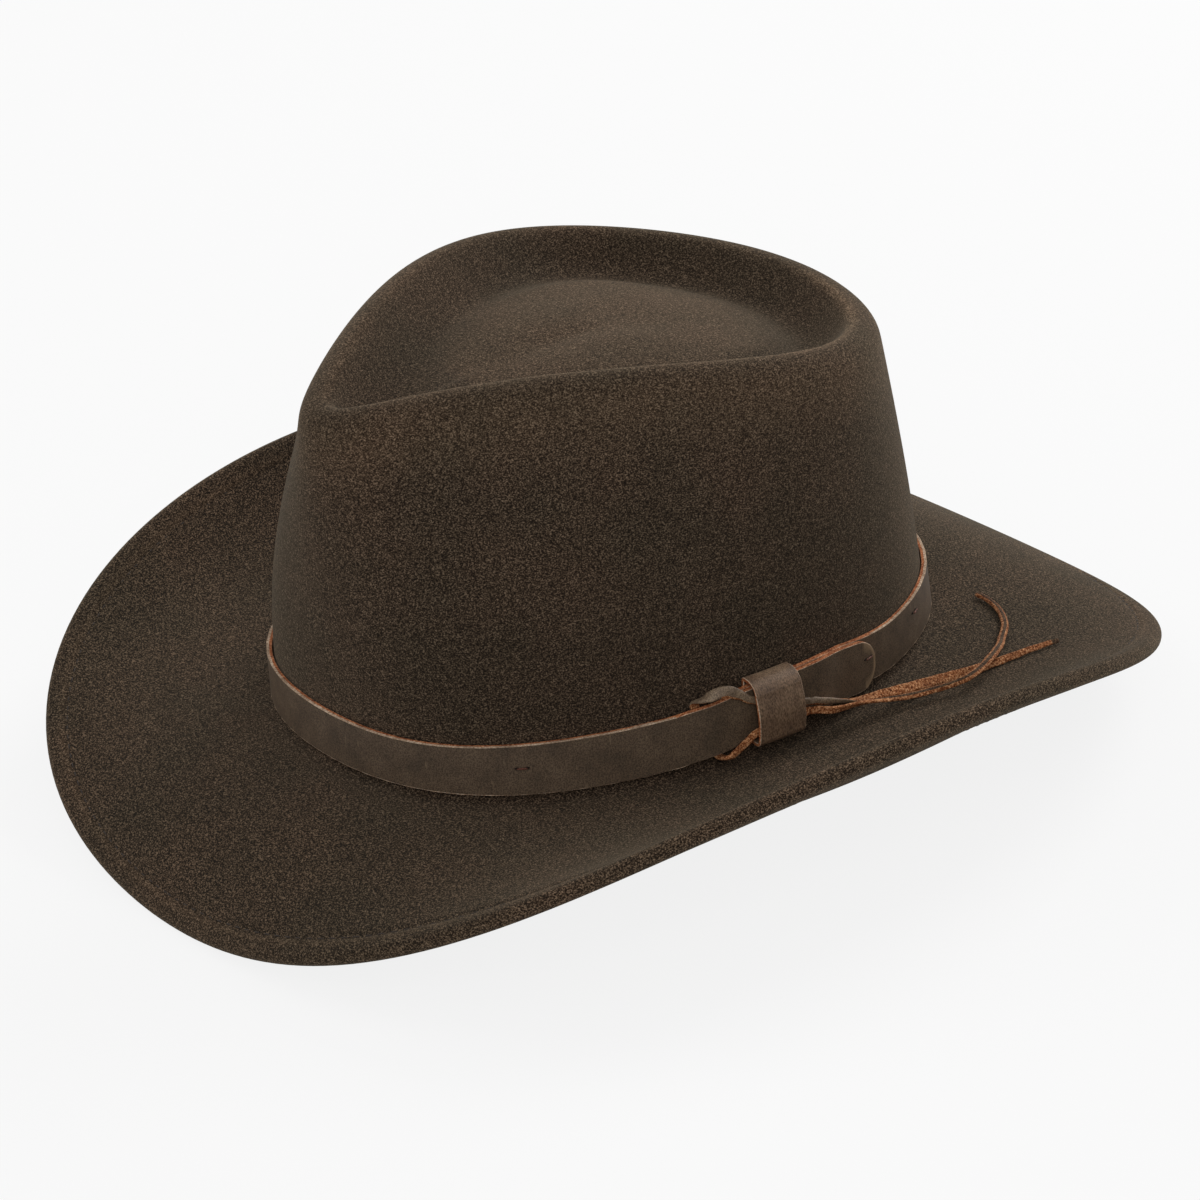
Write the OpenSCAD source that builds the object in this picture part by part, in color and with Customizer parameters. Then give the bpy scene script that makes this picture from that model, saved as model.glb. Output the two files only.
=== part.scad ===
// Outback hat of crushable wool felt: teardrop crown crease, brim rolled up at the
// sides and dipped front and back, brim edge turned under over a wire, leather band
// with an overlapping tab, a leather keeper loop and a leather lace.
//
// Origin: centre of the head opening, level with the inner edge of the brim. +Z is up,
// the front of the hat is toward -Y and the wearer's left toward +X. Angles around the
// hat run from the front (0) past the wearer's left (90) to the back (180).

/* [Head opening] */
// Half length of the crown at its foot, front to back, outside
foot_a = 101; // [96:0.5:108]
// Half width of the crown at its foot, outside
foot_b = 82; // [78:0.5:88]
// How far the foot's four rounded corners stand out past a plain oval
foot_square = 5.3; // [0:0.1:6]
// Thickness of the wool felt
felt_t = 2; // [1.6:0.1:2.4]

/* [Crown] */
// Height of the crease's ridge at the sides
crown_h = 112.2; // [100:0.1:120]
// How much lower the ridge is at the front
front_drop = 4.3; // [0:0.1:10]
// How much lower the ridge is at the back
back_drop = 10.2; // [6:0.1:16]
// How much the ridge swells up before the sides and sinks behind them
ridge_swell = 8.2; // [0:0.1:10]
// Half length of the ridge's centre line
ridge_a = 83.4; // [79:0.1:88]
// Half width of the ridge's centre line
ridge_b = 62.8; // [56:0.1:66]
// How much the ridge narrows toward the front, which makes it a teardrop
teardrop = 12.3; // [6:0.1:13]
// Radius of the rounded ridge, outside
ridge_r = 8; // [6:0.5:9]
// Outward bulge of the crown's wall at half height
wall_bulge = 1.2; // [0.5:0.1:4]
// Extra bulge of the wall at the crown's two front corners
front_bulge = 8; // [0:0.5:9]
// Depth of the crease's groove below the ridge
groove_h = 13.5; // [8:0.5:15]
// How far the crown's middle rises again above the groove
island_h = 6.5; // [4:0.5:11]

/* [Brim] */
// Width of the brim along its surface
brim_w = 71; // [60:0.5:78]
// Slope of the brim where it leaves the crown
root_slope = 2.8; // [1:0.1:9]
// Upward slope of the brim's edge at the sides
side_roll = 67; // [40:1:70]
// Downward slope of the brim's edge at the front
front_dip = 50; // [40:1:58]
// Downward slope of the brim's edge at the back
back_dip = 39; // [30:1:55]
// Extra upward slope between front and side
front_quarter = 11.3; // [0:0.1:12]
// Extra upward slope between side and back
back_quarter = -2.5; // [-4:0.5:8]
// Width of the edge strip turned under the brim
welt_w = 6; // [5:0.5:8]
// Diameter of the wire in the brim's edge
wire_d = 1; // [0.8:0.1:1.2]

/* [Band] */
// Height of the leather band
band_h = 14.8; // [13.4:0.2:16.4]
// Thickness of the band's leather
band_t = 1.6; // [1.3:0.1:1.9]
// How much higher the band sits at the back than at the front
band_rise = 0.8; // [0:0.1:2]
// How much higher it sits at the keeper and the tab
tab_rise = 4.9; // [3:0.1:6]
// Direction of the band's hidden inner end
band_start = 78; // [77:0.5:79]
// Direction of the overlapping tab's tip
tab_end = 111; // [106:1:116]
// Directions of the sewn tacks that hold the band
tack_dirs = [44, 109, 128];
// How far above the band's middle each tack is
tack_lifts = [0.8, 1.5, 3];
// Length of a sewn tack
tack_l = 3; // [2:0.5:4]

/* [Keeper] */
// Direction of the keeper loop's middle
keeper_dir = 87; // [86.5:0.1:87.5]
// Width of the keeper along the band
keeper_w = 15.8; // [13:0.2:16]
// Thickness of the keeper's leather
keeper_t = 1.1; // [1:0.1:1.3]
// Slack between the band's edges and the keeper, above and below together
keeper_slack = 2.6; // [2.4:0.2:4]

/* [Lace] */
// Diameter of the lace's free tails
lace_d = 2.4; // [2:0.1:2.6]
// Width of the lace where it is wrapped flat around the band
lace_w = 2.4; // [2:0.1:2.4]
// Thickness of the lace where it is wrapped flat
lace_t = 1.2; // [1:0.1:1.3]

/* [Sweatband] */
// Height of the sweatband
sweat_h = 32; // [26:1:38]
// Thickness of the sweatband
sweat_t = 1; // [0.8:0.1:1.4]
// Diameter of the reed along the sweatband's lower edge
reed_d = 2.4; // [2:0.1:2.8]
// Span of the small bow at the back of the sweatband
bow_w = 18; // [14:1:24]

/* [Hidden] */

felt_c = [0.21, 0.17, 0.14];
leather_c = [0.24, 0.17, 0.12];
lace_c = [0.45, 0.26, 0.15];

around = 60;                          // columns of the felt's mesh
step = 360 / around;
clear = 0.3;                          // gap between neighbouring pieces
fillet_r = 2.2;                       // inside corner between crown and brim
brim_l = brim_w - fillet_r;           // brim along its surface, past the corner
fold_gap = wire_d + clear;            // room for the wire inside the folded edge
fold_r = felt_t + fold_gap / 2;       // outside radius of the folded edge
slit = 0.3;                           // gap between the brim and its turned-under strip
fold_s = brim_l - fold_r;             // where the fold begins
welt_s = fold_s - welt_w;             // where the turned-under strip ends
groove_x = 12.5;                      // distance from ridge line to groove
island_x = 34;                        // distance from ridge line to the island's top
crease_y = 12;                        // centre of the crease, behind the origin
ridge_y = 3.1;                        // the ridge's middle, behind the origin
ridge_nose = 10.2;                    // how far its front end is drawn out
roll_power = 1.6;                     // how late the sides roll up

function unit(v) = v / norm(v);
function mix(a, b, u) = a + (b - a) * u;
function ease(u) = let (c = max(0, min(1, u))) c * c * (3 - 2 * c);
function sum(list) = [for (x = list) 1] * list;

// ---- crown ----
// Foot of the crown, and the outward direction there.
function outward(t) = unit([foot_a * sin(t), -foot_b * cos(t)]);
function corner_share(t) = pow(sin(2 * t) * cos(t), 2);
function foot(t) = [foot_b * sin(t), -foot_a * cos(t)] + foot_square * corner_share(t) * outward(t);

// Centre line of the rounded ridge.
function ridge_z(t) = crown_h - ridge_r
    - (front_drop + back_drop) / 2 * pow(cos(t), 2)
    - (front_drop - back_drop) / 2 * cos(t)
    + ridge_swell * cos(t) * pow(sin(t), 2);
function ridge(t) = [
    ridge_b * (0.947 * sin(t) - 0.053 * sin(3 * t)) - teardrop * sin(2 * t),
    ridge_y - ridge_a * cos(t) - ridge_nose * pow(cos(t), 2)];
function ridge_out(t) = let (d = ridge(t + 1) - ridge(t - 1)) unit([d.y, -d.x]);

// Wall of the crown at height share v, 0 at the foot and 1 at the ridge.
function bulge(t) = wall_bulge + front_bulge * (cos(t) > 0 ? corner_share(t) : 0);
function wall(t, v) = let (
    top = ridge(t) + ridge_r * ridge_out(t),
    p = mix(foot(t), top, v) + bulge(t) * sin(180 * v) * outward(t))
    [p.x, p.y, mix(fillet_r, ridge_z(t), v)];

// A point beside the wall: height z, distance out from the felt's outer face.
function beside(t, out, z) = let (
    n = outward(t),
    p = wall(t, max(0, (z - fillet_r) / (ridge_z(t) - fillet_r))))
    [p.x + out * n.x, p.y + out * n.y, z];

// Rounded ridge: a is 0 facing outward and 90 on top.
function ridge_round(t, a) = let (c = ridge(t), n = ridge_out(t))
    [c.x + ridge_r * cos(a) * n.x, c.y + ridge_r * cos(a) * n.y, ridge_z(t) + ridge_r * sin(a)];

// Crease inside the ridge, from the distance to the nearest point of the ridge.
ridge_line = [for (i = [0:2.5:359]) ridge(i)];
function gap_to_ridge(p) = min([for (q = ridge_line) norm(p - q)]);
function crease_drop(d) = d < groove_x
    ? -groove_h * (1 - cos(180 * d / groove_x)) / 2
    : -groove_h + island_h * (1 - cos(180 * min(1, (d - groove_x) / (island_x - groove_x)))) / 2;
function crease(t, v) = let (
    p = mix([0, crease_y], ridge(t), v),
    z = mix(crown_h - 2, ridge_z(t) + ridge_r, v))
    [p.x, p.y, z + (v > 0.999 ? 0 : crease_drop(gap_to_ridge(p)))];

// ---- brim ----
// Slope of the brim at share u of its width.
function brim_slope(t, u) = let (
    side = pow(sin(t), 2),
    dip = cos(t) > 0 ? front_dip : back_dip,
    quarter = (cos(t) > 0 ? front_quarter : back_quarter) * pow(sin(2 * t), 2))
    root_slope + (side_roll - root_slope) * side * pow(u, roll_power)
    - (dip + root_slope) * (1 - side) * u + quarter * u;

brim_steps = 16;
function brim(t, s) = let (
    n = outward(t),
    ds = s / brim_steps,
    slopes = [for (j = [0:brim_steps - 1]) brim_slope(t, (j + 0.5) * ds / brim_l)],
    run = ds * sum([for (a = slopes) cos(a)]),
    rise = ds * sum([for (a = slopes) sin(a)]),
    p = foot(t) + (fillet_r + run) * n)
    [p.x, p.y, rise];

function corner(t, a) = let (
    n = outward(t),
    p = foot(t) + fillet_r * (1 - cos(a)) * n)
    [p.x, p.y, fillet_r * (1 - sin(a))];

// ---- felt skin ----
// Outer face, one column of points from the crease's middle to the folded edge.
crease_shares = [for (j = [8:-1:1]) 1 - pow(j / 9, 1.5)];
ridge_angles = [90, 67, 45, 22];
wall_shares = [1, 0.85, 0.68, 0.5, 0.36, 0.23, 0.11, 0];
brim_places = concat([for (j = [0:8]) j / 8 * welt_s], [welt_s + welt_w / 2, fold_s]);
function outer(t) = concat(
    [for (v = crease_shares) crease(t, v)],
    [for (a = ridge_angles) ridge_round(t, a)],
    [for (v = wall_shares) wall(t, v)],
    [corner(t, 35)],
    [for (s = brim_places) brim(t, s)]);
columns = [for (i = [0:around - 1]) outer(i * step)];
last = len(columns[0]) - 1;
welt_at = last - 2;                   // ring where the turned-under strip ends

function at(k, i) = columns[(i + around) % around][k];
function normal(k, i) = unit(cross(
    at(k, i + 1) - at(k, i - 1),
    at(max(0, k - 1), i) - at(min(last, k + 1), i)));
function under(k, i, depth) = at(k, i) - depth * normal(k, i);
function fold_out(i) = let (n = normal(last, i), d = at(last, i) - at(last - 1, i))
    unit(d - (d * n) * n);
function fold_mid(i) = under(last, i, fold_r);
function fold(i, r, a) = fold_mid(i) + r * (cos(a) * normal(last, i) + sin(a) * fold_out(i));
// Depths of the turned-under strip at ring k: its near face and its far face.
function strip_near(k) = felt_t + mix(slit, fold_gap, (k - welt_at) / (last - welt_at));
function strip_far(k) = strip_near(k) + felt_t;

function ring(k, depth) = [for (i = [0:around - 1]) under(k, i, depth)];
felt_rings = concat(
    [for (k = [0:last]) ring(k, 0)],
    [for (a = [36:36:144]) [for (i = [0:around - 1]) fold(i, fold_r, a)]],
    [for (k = [last:-1:welt_at]) ring(k, strip_far(k))],
    [for (k = [welt_at:last]) ring(k, strip_near(k))],
    [[for (i = [0:around - 1]) fold(i, fold_gap / 2, 90)]],
    [for (k = [last:-1:0]) ring(k, felt_t)]);

// Closed skin through rings of equal length, ended by one point at each end.
module skin(rings, first, final) {
    n = len(rings[0]);
    m = len(rings);
    points = concat([first], [for (r = rings) each r], [final]);
    faces = concat(
        [for (i = [0:n - 1]) [0, 1 + i, 1 + (i + 1) % n]],
        [for (k = [0:m - 2], i = [0:n - 1]) let (
            a = 1 + k * n + i, b = 1 + k * n + (i + 1) % n)
            each [[a, a + n, b + n], [a, b + n, b]]],
        [for (i = [0:n - 1]) let (a = 1 + (m - 1) * n)
            [a + i, a + n, a + (i + 1) % n]]);
    polyhedron(points, [for (f = faces) [f[0], f[2], f[1]]]);
}

module felt_body() {
    top = [0, crease_y, crown_h - 2 - groove_h + island_h];
    color(felt_c)
    skin(felt_rings, top, top - [0, 0, felt_t]);
}

// ---- swept strips and tubes ----
// Closed loop of equal sections.
module loop(sections) {
    n = len(sections[0]);
    m = len(sections);
    polyhedron(
        [for (s = sections) each s],
        [for (k = [0:m - 1], i = [0:n - 1]) let (
            a = k * n + i, b = k * n + (i + 1) % n,
            c = (k + 1) % m * n + (i + 1) % n, d = (k + 1) % m * n + i)
            each [[a, b, c], [a, c, d]]]);
}

// Open run of equal sections with flat ends.
module run(sections) {
    n = len(sections[0]);
    m = len(sections);
    polyhedron(
        [for (s = sections) each s],
        concat(
            [[for (i = [n - 1:-1:0]) i]],
            [for (k = [0:m - 2], i = [0:n - 1]) let (
                a = k * n + i, b = k * n + (i + 1) % n)
                each [[a, b, b + n], [a, b + n, a + n]]],
            [[for (i = [0:n - 1]) (m - 1) * n + i]]));
}

function heading(path, k) = unit(path[min(len(path) - 1, k + 1)] - path[max(0, k - 1)]);
// Round section across a path.
function disc(path, k, d, sides) = let (
    h = heading(path, k),
    a = unit(cross(h, abs(h.z) > 0.9 ? [1, 0, 0] : [0, 0, 1])),
    b = cross(a, h))
    [for (j = [0:sides - 1]) path[k] + d / 2 * (cos(360 * j / sides) * a + sin(360 * j / sides) * b)];

module tube(path, d, sides = 8) run([for (k = [0:len(path) - 1]) disc(path, k, d, sides)]);

// Smooth path through chosen points, with n steps between neighbours.
function curve_at(p, k, u) = let (
    a = p[max(0, k - 1)], b = p[k], c = p[k + 1], d = p[min(len(p) - 1, k + 2)])
    0.5 * (2 * b + (c - a) * u + (2 * a - 5 * b + 4 * c - d) * u * u
           + (3 * b - a - 3 * c + d) * u * u * u);
function curve(p, n) = concat(
    [for (k = [0:len(p) - 2], j = [0:n - 1]) curve_at(p, k, j / n)], [p[len(p) - 1]]);

// The wire lies a little inside the fold, where there is room on all sides of it.
module brim_wire() {
    color("silver")
    loop([for (i = [0:around - 1]) let (n = normal(last, i), o = fold_out(i))
        [for (a = [0:60:300])
            fold_mid(i) - clear * o + wire_d / 2 * (cos(a) * n + sin(a) * o)]]);
}

// ---- sweatband ----
sweat_out = -felt_t - clear;          // outer face of the sweatband
module sweatband() {
    color(leather_c)
    loop([for (i = [0:around - 1]) let (t = i * step)
        [for (c = [[0, 2], [0, sweat_h], [-sweat_t, sweat_h], [-sweat_t, 2]])
            beside(t, sweat_out + c[0], c[1])]]);
}

module sweatband_reed() {
    color(leather_c)
    loop([for (i = [0:around - 1]) let (t = i * step)
        [for (a = [0:45:315])
            beside(t, sweat_out - sweat_t / 2 + reed_d / 2 * sin(a), 0.7 + reed_d / 2 * cos(a))]]);
}

bow_gap = 1.15;                       // the flat bow clears the curved sweatband by this
// Flat bow of narrow ribbon: two loops and a knot, against the sweatband's back.
module sweatband_bow() {
    face = beside(180, sweat_out - sweat_t - bow_gap, 14);
    color(felt_c)
    translate(face)
    rotate([90, 0, 0]) {
        for (side = [0, 1])
            mirror([side, 0, 0])
            linear_extrude(1)
            polygon([[1.5, 1], [bow_w / 2, 3], [bow_w / 2, -3], [1.5, -1]]);
        translate([-2, -2, 0])
        cube([4, 4, 1.6]);
    }
}

// ---- band ----
band_z = fillet_r + 0.8;              // lower edge of the band at the front
rise_dir = 91;                        // middle of the stretch that sits higher
rise_span = 3;                        // half of its level part, as an angle
rise_ramp = 26;                       // length of each slope beside it, as an angle
function band_mid(t) = band_z + band_h / 2 + band_rise * (1 - cos(t)) / 2
    + tab_rise * ease((rise_span + rise_ramp - abs(t - rise_dir)) / rise_ramp);

lift_dir = keeper_dir - 4;            // middle of the stretch that stands off the felt
lift_span = 12.5;                     // half of that stretch, as an angle
lift_off = keeper_t + 3 * clear;      // room behind the band for keeper and lace
function stand_off(t) = clear
    + (lift_off - clear) * ease((lift_span + 7 - abs(t - lift_dir)) / 7);
// Extra distance of the overlapping end, which lies on the start of the band.
layer = band_t + 0.15;
function overlap(t) = layer * ease((t - 360 - band_start + 7) / 6);
function band_in(t) = stand_off(t % 360) + overlap(t);

tab_r = band_h / 2;                   // rounding of the tab's tip
// Angle around the hat that a length along its band covers.
function turn_of(length, t) = length / norm(foot(t + 0.5) - foot(t - 0.5));
tab_deg = turn_of(tab_r, tab_end);    // the rounding as an angle
function tab_half(t) = let (x = max(0, min(1, (t - 360 - tab_end + tab_deg) / tab_deg)))
    band_h / 2 * sqrt(1 - 0.97 * x * x);
band_dirs = concat(
    [for (t = [band_start:5:360 + band_start - 12]) t],
    [for (t = [360 + band_start - 8:2:360 + tab_end - tab_deg]) t],
    [for (x = [0.2, 0.45, 0.7, 0.88, 0.97, 1]) 360 + tab_end - tab_deg * (1 - x)]);
module hat_band() {
    color(leather_c)
    run([for (t = band_dirs) let (d = t % 360, o = band_in(t), m = band_mid(d), h = tab_half(t))
        [beside(d, o, m - h), beside(d, o + band_t, m - h),
         beside(d, o + band_t, m + h), beside(d, o, m + h)]]);
}

// Short sewn stitches that hold the band, each a bar of thread on its face.
module band_tacks() {
    thread_d = 0.7;
    color("sienna")
    for (i = [0:len(tack_dirs) - 1]) {
        t = tack_dirs[i];
        half = turn_of(tack_l / 2, t);
        face = band_in(t < tab_end && t > band_start ? t + 360 : t) + band_t;
        tube([for (u = [-1, 0, 1])
            beside(t + u * half, face + thread_d / 2 + 0.05, band_mid(t) + tack_lifts[i])],
            thread_d, 6);
    }
}

// ---- keeper ----
keeper_z = band_mid(keeper_dir) - 0.8; // middle height of the keeper
window_h = band_h + keeper_slack;     // height of its opening
// Distance out of the lace's middle where it lies on the band's face.
function lace_mid(t) = band_in(t + 360) + band_t + 0.1 + lace_t / 2;
window_d = lace_mid(keeper_dir) + lace_t / 2 - keeper_t; // depth of its opening
keeper_bow = 0.8;                     // bulge of its front
keeper_gap = clear + 0.1;             // gap between the keeper's back and the felt
// Centre of the circle through three points, seen from above.
function centre(a, b, c) = let (
    d = 2 * (a.x * (b.y - c.y) + b.x * (c.y - a.y) + c.x * (a.y - b.y)),
    q = [for (p = [a, b, c]) p.x * p.x + p.y * p.y])
    [(q[0] * (b.y - c.y) + q[1] * (c.y - a.y) + q[2] * (a.y - b.y)) / d,
     (q[0] * (c.x - b.x) + q[1] * (a.x - c.x) + q[2] * (b.x - a.x)) / d, 0];
// Centre of the wall's curve behind the keeper, around which the keeper slides.
bend = centre(beside(keeper_dir - 5, 0, keeper_z), beside(keeper_dir, 0, keeper_z),
              beside(keeper_dir + 5, 0, keeper_z));
// How far the keeper leans in for each millimetre of height, like the wall behind it.
keeper_lean = (beside(keeper_dir, 0, keeper_z - 8) - beside(keeper_dir, 0, keeper_z + 8))
    * concat(outward(keeper_dir), [0]) / 16;

// Rectangle with a bowed right side, its left side on x = 0. The radii are those of
// its corners, from the upper right round by the left to the lower right.
function rounded(w, h, radii) = concat(
    [for (q = [0:3], a = [0:15:90]) let (
        r = radii[q],
        c = [[w - r, h / 2 - r], [r, h / 2 - r], [r, r - h / 2], [w - r, r - h / 2]][q])
        c + r * [cos(90 * q + a), sin(90 * q + a)]],
    [for (u = [-0.75:0.25:0.75])
        [w + keeper_bow * cos(90 * u), mix(radii[3] - h / 2, h / 2 - radii[0], (u + 1) / 2)]]);
function leaning(points) = [for (p = points) p - [keeper_lean * p.y, 0]];

module band_keeper() {
    base = beside(keeper_dir, keeper_gap, keeper_z) - bend;
    middle = atan2(base.y, base.x);
    radius = norm([base.x, base.y]);
    arc = keeper_w / (radius + window_d) * 180 / PI;
    inner_radii = [2.2, 0.5, 0.5, 1.4];
    outer_radii = [4.6, 1.5, 1.5, 3];
    color(leather_c)
    translate([bend.x, bend.y, base.z])
    rotate([0, 0, middle - arc / 2])
    rotate_extrude(angle = arc, $fn = 300)
    translate([radius, 0])
    difference() {
        polygon(leaning(rounded(window_d + 2 * keeper_t, window_h + 2 * keeper_t, outer_radii)));
        translate([keeper_t, 0])
        polygon(leaning(rounded(window_d, window_h, inner_radii)));
    }
}

// ---- lace ----
mouth = keeper_dir + 6.5;             // where the lace turns from flat strand to free tail
upper_z = keeper_z - 2.3;             // height of the upper strand at the mouth
lower_z = keeper_z - 5;               // height of the lower strand at the mouth
behind = lift_off / 2;                // middle of the room behind the band
function above(x, h) = band_mid(keeper_dir + x) + band_h / 2 + h;
function below(x, h) = band_mid(keeper_dir + x) - band_h / 2 - h;
// The lace around the band, each point a direction from the keeper's, a distance out
// from the band's face (or from the felt, past 90 degrees), a height and the way its
// flat side faces: 0 outward, 90 up, 180 inward, 270 down.
lace_turn = [
    [mouth - keeper_dir, 0, upper_z, 0],
    [0, 0, keeper_z + 1.7, 0],
    [-4.6, 0, above(-4.6, -2.8), 0],
    [-6.6, 0.1, above(-6.6, 0.3), 5],
    [-8.6, 0.3, above(-8.6, 3), 20],
    [-10.6, 0, above(-10.6, 3.9), 45],
    [-12.4, -1, above(-12.4, 3.6), 80],
    [-13.2, 1.9, above(-13.2, 2.4), 115],
    [-13.3, behind, above(-13.3, 0.1), 165],
    [-13, behind, above(-13, -2.6), 180],
    [-11.8, behind, band_mid(keeper_dir - 11.8), 180],
    [-10.9, behind, below(-10.9, -1), 180],
    [-10.6, 1.4, below(-10.6, 1.2), 215],
    [-10.2, 3, below(-10.2, 2.2), 270],
    [-9.4, -0.5, below(-9.4, 1.9), 320],
    [-8.2, 0, below(-8.2, 1), 348],
    [-6, 0, below(-6, -0.6), 360],
    [-4.1, 0, below(-4.1, -1.8), 360],
    [0, 0, keeper_z - 4.4, 360],
    [mouth - keeper_dir, 0, lower_z, 360]];
lace_points = [for (q = lace_turn) let (t = keeper_dir + q[0])
    [t, q[1] + (q[3] < 90 || q[3] > 270 ? lace_mid(t) : 0), q[2], q[3]]];
lace_run = curve(lace_points, 2);
lace_path = [for (q = lace_run) beside(q[0], q[1], q[2])];
module lace_loop() {
    color(lace_c)
    run([for (k = [0:len(lace_path) - 1]) let (
        n = outward(lace_run[k][0]),
        a = lace_run[k][3],
        face = [n.x * cos(a), n.y * cos(a), sin(a)],
        h = heading(lace_path, k),
        side = unit(cross(h, face)),
        up = cross(side, h))
        [for (c = [[-1, -1], [1, -1], [1, 1], [-1, 1]])
            lace_path[k] + c[0] * lace_w / 2 * side + c[1] * lace_t / 2 * up]]);
}

// Free tails, from the keeper's mouth down to the brim, where they lie to their cut ends.
function tail_start(z) = beside(mouth + 0.4, lace_mid(mouth) + 0.5, z);
upper_tail = [
    tail_start(upper_z),
    [87.7, 14.3, 9.8], [87.2, 24.3, 6.3], [87.8, 33.4, 5.2], [88.9, 42.2, 4.4], [89, 51.8, 3.1],
    [89.6, 58.5, 2.5], [91, 63.5, 2.6], [92.3, 69.7, 2.8], [93.2, 77.6, 2.9], [94, 86.9, 2.9],
    [94.9, 96.2, 2.6]];
// This one crosses over the other and curls back toward the crown.
lower_tail = [
    tail_start(lower_z),
    [90.2, 12.8, 7.9], [90.1, 22, 6.6], [90.9, 30.7, 5.2], [92.3, 39, 4.2], [94.6, 46.6, 4.3],
    [97, 51.8, 5.2], [98.9, 56.2, 6.5], [97, 63.6, 6.6], [92.6, 72.3, 6.1], [87, 79.9, 4.1],
    [81.9, 85.4, 2.4], [74.8, 93.4, 1.6], [66.4, 99, 1.3], [59.2, 101.3, 1.3], [53.8, 101.5, 1.4]];
module lace_tail_upper() color(lace_c) tube(curve(upper_tail, 2), lace_d);
module lace_tail_lower() color(lace_c) tube(curve(lower_tail, 2), lace_d);

felt_body();
brim_wire();
sweatband();
sweatband_reed();
sweatband_bow();
hat_band();
band_tacks();
band_keeper();
lace_loop();
lace_tail_upper();
lace_tail_lower();
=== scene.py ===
"""Outback hat of crushable wool felt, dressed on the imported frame: felted wool, oiled
leather band, keeper and split lace, sewn brim edge and leather sweatband."""

import math

import bmesh
import bpy
from mathutils import Matrix, Vector
from mathutils.kdtree import KDTree


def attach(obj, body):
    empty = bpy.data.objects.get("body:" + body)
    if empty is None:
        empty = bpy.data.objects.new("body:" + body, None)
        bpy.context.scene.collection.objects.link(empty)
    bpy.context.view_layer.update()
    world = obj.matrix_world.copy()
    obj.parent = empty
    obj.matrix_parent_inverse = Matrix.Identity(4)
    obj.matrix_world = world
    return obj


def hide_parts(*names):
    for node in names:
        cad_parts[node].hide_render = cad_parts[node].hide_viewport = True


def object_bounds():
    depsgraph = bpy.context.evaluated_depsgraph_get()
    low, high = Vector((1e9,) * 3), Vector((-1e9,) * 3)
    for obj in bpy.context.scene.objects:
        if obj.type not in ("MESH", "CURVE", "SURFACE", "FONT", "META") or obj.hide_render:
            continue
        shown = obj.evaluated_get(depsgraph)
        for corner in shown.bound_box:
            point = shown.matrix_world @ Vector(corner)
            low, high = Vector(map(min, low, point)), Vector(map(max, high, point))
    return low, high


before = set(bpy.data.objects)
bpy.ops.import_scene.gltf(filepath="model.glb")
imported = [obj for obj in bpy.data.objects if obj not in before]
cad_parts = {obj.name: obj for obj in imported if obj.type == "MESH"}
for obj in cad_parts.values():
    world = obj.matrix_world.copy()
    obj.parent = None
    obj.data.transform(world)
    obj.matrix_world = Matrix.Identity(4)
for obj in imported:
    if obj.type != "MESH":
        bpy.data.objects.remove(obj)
cad_low, cad_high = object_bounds()
MM = 0.001


# ---- the hat's own sizes, in millimetres, as its drawing has them ----
FOOT_A, FOOT_B = 101, 82  # the crown's foot: half length and half width
FOOT_SQUARE = 5.3
FELT_T = 2
CLEAR = 0.3  # gap between neighbouring pieces
CROWN_H, FRONT_DROP, BACK_DROP, RIDGE_SWELL = 112.2, 4.3, 10.2, 8.2
RIDGE_A, RIDGE_B, TEARDROP, RIDGE_R = 83.4, 62.8, 12.3, 8
RIDGE_Y, RIDGE_NOSE, CREASE_Y = 3.1, 10.2, 12
RIDGE_OVAL, RIDGE_SQUARE = 0.947, 0.053  # shares of a plain oval and of its squaring
WALL_BULGE, FRONT_BULGE = 1.2, 8
BRIM_W, ROOT_SLOPE, SIDE_ROLL, ROLL_POWER = 71, 2.8, 67, 1.6
FRONT_DIP, BACK_DIP, FRONT_QUARTER, BACK_QUARTER = 50, 39, 11.3, -2.5
FILLET = 2.2
BRIM_L = BRIM_W - FILLET
BRIM_STEPS = 16
WELT_W = 6
WIRE_D = 1
FOLD_R = FELT_T + (WIRE_D + CLEAR) / 2
FOLD_S = BRIM_L - FOLD_R  # where the edge starts to turn under
BAND_H, BAND_T, BAND_RISE, TAB_RISE = 14.8, 1.6, 0.8, 4.9
BAND_LIFT = 0.8  # from the inside corner up to the band
BAND_START, TAB_END = 78, 111
RISE_DIR, RISE_REACH, RISE_RAMP = 91, 29, 26  # where the band sits higher, in degrees
CLIMB_AHEAD, CLIMB_RAMP, LAP_GAP = 7, 6, 0.15  # its outer end climbs over its start
TACK_DIRS, TACK_LIFTS, TACK_L = (44, 109, 128), (0.8, 1.5, 3), 3
KEEPER_DIR, KEEPER_T = 87, 1.1
KEEPER_ROOM = KEEPER_T + 0.6  # how much further out the band is bent at the keeper
ROOM_AHEAD, ROOM_REACH, ROOM_RAMP = 4, 19.5, 7  # where, in degrees around the keeper
LACE_W, LACE_T, LACE_GAP = 2.4, 1.2, 0.1
SWEAT_T = 1


def sin(degrees):
    return math.sin(math.radians(degrees))


def cos(degrees):
    return math.cos(math.radians(degrees))


def ease(u):
    u = min(max(u, 0), 1)
    return u * u * (3 - 2 * u)


def outward(t):
    return Vector((FOOT_A * sin(t), -FOOT_B * cos(t), 0)).normalized()


def corner_share(t):
    return (sin(2 * t) * cos(t)) ** 2


def foot(t):
    oval = Vector((FOOT_B * sin(t), -FOOT_A * cos(t), 0))
    return oval + FOOT_SQUARE * corner_share(t) * outward(t)


def ridge_z(t):
    drops = (FRONT_DROP + BACK_DROP) / 2 * cos(t) ** 2 + (FRONT_DROP - BACK_DROP) / 2 * cos(t)
    return CROWN_H - RIDGE_R - drops + RIDGE_SWELL * cos(t) * sin(t) ** 2


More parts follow.
